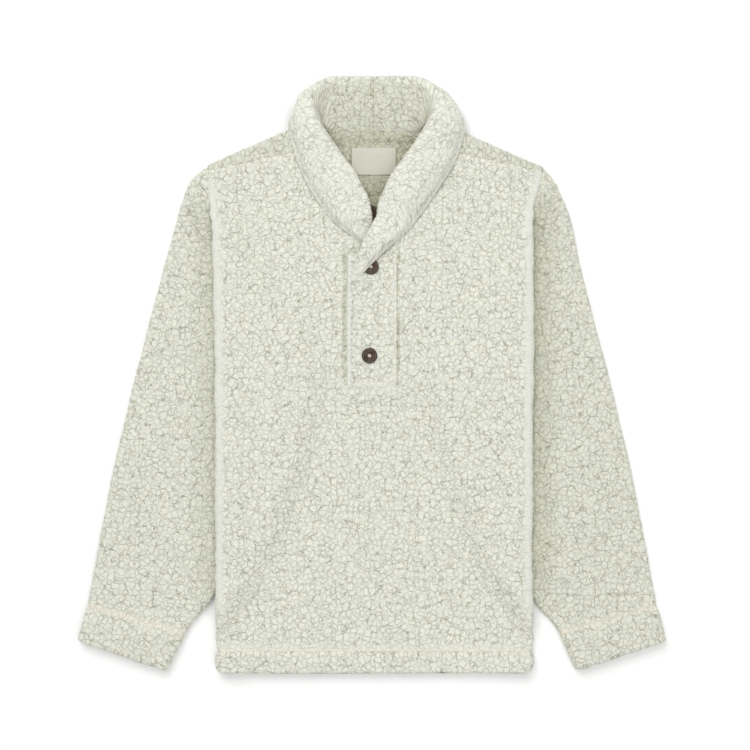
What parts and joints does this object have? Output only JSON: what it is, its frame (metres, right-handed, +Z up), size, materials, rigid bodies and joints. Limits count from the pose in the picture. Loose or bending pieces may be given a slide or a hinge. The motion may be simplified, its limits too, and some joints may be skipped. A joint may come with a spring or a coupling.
{
  "type": "fleece pullover",
  "caption": "Curly wool fleece pullover with a shawl collar, a buttoned half placket, set-in sleeves and turned hems, laid flat face up.",
  "frame": {"origin": "centre of the garment's outline, on the surface it lies on", "axes": "+Z up, away from the surface; +Y from the hem towards the collar; +X towards the wearer's left sleeve"},
  "size_m": [0.7658, 0.778, 0.0393],
  "materials": {
    "fleece": "curly undyed wool pile, matt",
    "horn": "polished dark horn",
    "label_cloth": "plain woven tape, bare"
  },
  "bodies": {
    "root": {"front": "fleece", "back": "fleece", "sleeve_left": "fleece", "sleeve_right": "fleece", "collar_left": "fleece", "collar_right": "fleece", "placket": "fleece", "under_placket": "fleece", "button_upper": "horn", "button_lower": "horn", "button_inner": "horn", "label": "label_cloth"}
  },
  "joints": []
}
